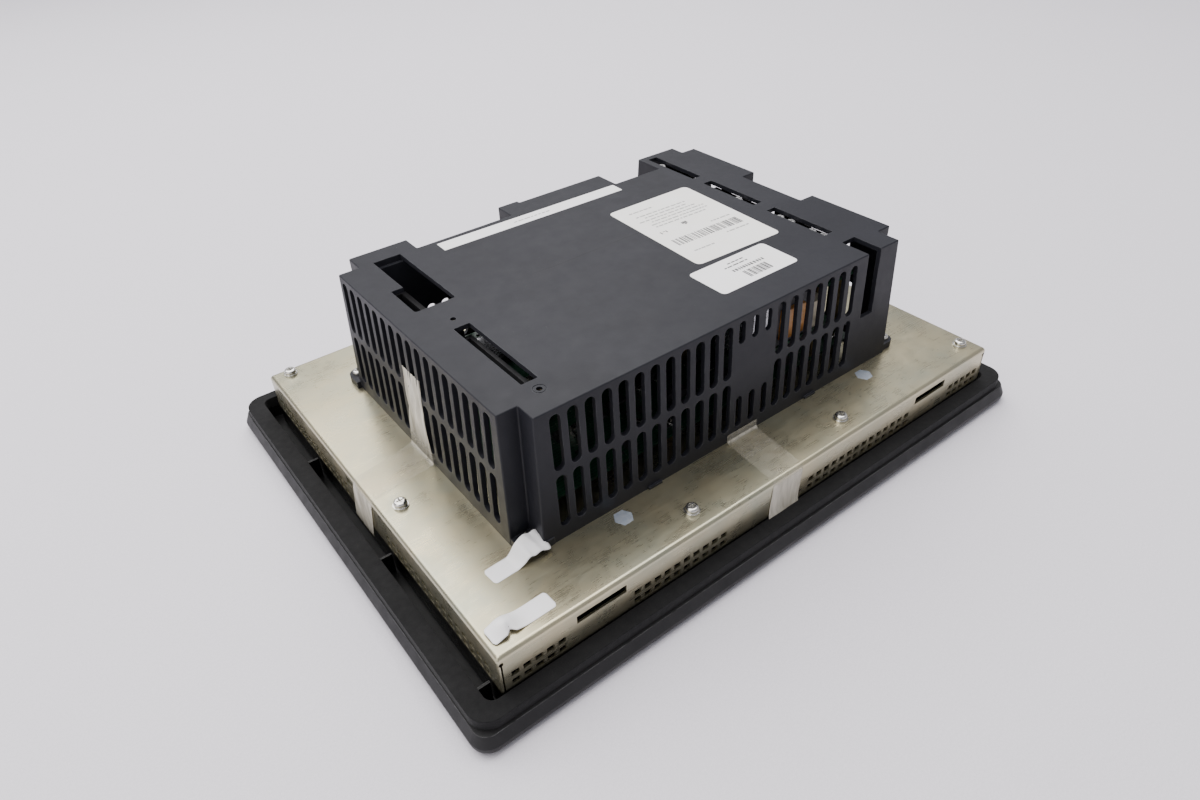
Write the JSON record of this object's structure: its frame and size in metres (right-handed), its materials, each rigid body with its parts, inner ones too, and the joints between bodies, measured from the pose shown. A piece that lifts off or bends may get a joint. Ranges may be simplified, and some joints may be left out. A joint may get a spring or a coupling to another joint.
{
  "type": "hmi touch panel",
  "caption": "Panel-mount touch screen operator terminal with a sheet-steel chassis, vented rear cover, sealing gasket, terminal blocks and a card slot.",
  "frame": {"origin": "centre of the bezel's outline, on its front face", "axes": "+Z towards the rear of the unit, +X along its long side; the edge that is uppermost in use faces -Y"},
  "size_m": [0.372, 0.281, 0.11],
  "materials": {
    "bezel_plastic": "fine moulded texture",
    "overlay_film": "matte screen-printed film",
    "gasket_foam": "closed-cell foam",
    "seal_foam": "thin foam",
    "screen_glass": "anti-glare glass",
    "display_steel": "plain sheet",
    "display_glass": "dark liquid-crystal cell",
    "light_guide": "white light guide",
    "chassis_steel": "zinc plated with a warm tint",
    "stud_steel": "bluish zinc plate",
    "bracket_steel": "zinc plated",
    "screw_steel": "bright zinc plate",
    "terminal_screw_steel": "nickel plated",
    "cover_plastic": "fine moulded texture",
    "brass": "turned",
    "board_green": "solder mask",
    "chip_black": "moulded",
    "heatsink_black": "black anodised",
    "heatsink_plain": "extruded",
    "battery_steel": "nickel plated",
    "connector_black": "moulded",
    "connector_cream": "moulded",
    "ribbon_film": "polyimide film",
    "button_grey": "moulded",
    "button_dark": "moulded",
    "terminal_black": "moulded",
    "ferrite": "sintered",
    "coil_tape": "tape wound",
    "can_sleeve": "shrink sleeve",
    "port_metal": "tin plated"
  },
  "bodies": {
    "unit": {"battery": "battery_steel", "battery_holder": "connector_black", "bezel": "bezel_plastic", "board_posts": "brass", "board_screws": "screw_steel", "card_socket": "connector_black", "chassis": "chassis_steel", "chassis_posts": "bracket_steel", "chassis_screws": "screw_steel", "chassis_sides": "chassis_steel", "clinch_studs": "stud_steel", "cover_screws": "screw_steel", "display_backlight": "light_guide", "display_bracket_lower": "bracket_steel", "display_bracket_upper": "bracket_steel", "display_cell": "display_glass", "display_connector": "connector_cream", "display_frame": "display_steel", "display_ribbon": "ribbon_film", "front_overlay": "overlay_film", "inverter_board": "board_green", "inverter_parts": "chip_black", "inverter_posts": "bracket_steel", "main_board": "board_green", "mains_filter": "connector_cream", "memory_chips": "chip_black", "module_connector": "connector_black", "module_inserts": "brass", "module_riser": "board_green", "network_port": "port_metal", "panel_gasket": "gasket_foam", "power_board": "board_green", "power_board_posts": "brass", "power_capacitors": "can_sleeve", "power_heatsink": "heatsink_plain", "processor": "chip_black", "processor_heatsink": "heatsink_black", "rear_cover": "cover_plastic", "reset_switch": "connector_black", "serial_port": "port_metal", "serial_port_jack_nuts": "screw_steel", "stud_nuts": "bracket_steel", "terminal_block_a": "terminal_black", "terminal_block_b": "terminal_black", "terminal_block_c": "terminal_black", "terminal_board": "board_green", "terminal_board_posts": "brass", "terminal_screws": "terminal_screw_steel", "touch_screen": "screen_glass", "touch_seal": "seal_foam", "transformer_coil": "coil_tape", "transformer_core": "ferrite"},
    "loose_screw_1": {"loose_screw_1": "terminal_screw_steel"},
    "loose_screw_2": {"loose_screw_2": "terminal_screw_steel"},
    "loose_screw_3": {"loose_screw_3": "terminal_screw_steel"},
    "loose_screw_4": {"loose_screw_4": "terminal_screw_steel"},
    "loose_screw_5": {"loose_screw_5": "terminal_screw_steel"},
    "loose_screw_6": {"loose_screw_6": "terminal_screw_steel"},
    "card_eject_button": {"card_eject_button": "button_grey"},
    "reset_button": {"reset_button": "button_dark"}
  },
  "joints": [
    {"name": "loose_screw_1_drive", "type": "slide", "parent": "unit", "child": "loose_screw_1", "axis": [0, 0, -1], "range_m": [0, 0.007]},
    {"name": "loose_screw_2_drive", "type": "slide", "parent": "unit", "child": "loose_screw_2", "axis": [0, 0, -1], "range_m": [0, 0.007]},
    {"name": "loose_screw_3_drive", "type": "slide", "parent": "unit", "child": "loose_screw_3", "axis": [0, 0, -1], "range_m": [0, 0.007]},
    {"name": "loose_screw_4_drive", "type": "slide", "parent": "unit", "child": "loose_screw_4", "axis": [0, 0, -1], "range_m": [0, 0.007]},
    {"name": "loose_screw_5_drive", "type": "slide", "parent": "unit", "child": "loose_screw_5", "axis": [0, 0, -1], "range_m": [0, 0.007]},
    {"name": "loose_screw_6_drive", "type": "slide", "parent": "unit", "child": "loose_screw_6", "axis": [0, 0, -1], "range_m": [0, 0.007]},
    {"name": "card_eject_push", "type": "slide", "parent": "unit", "child": "card_eject_button", "axis": [0, 0, -1], "range_m": [0, 0.006]},
    {"name": "reset_push", "type": "slide", "parent": "unit", "child": "reset_button", "axis": [0, 1, 0], "range_m": [0, 0.001], "stiffness_N_per_m": 200, "springref_m": -0.002}
  ]
}
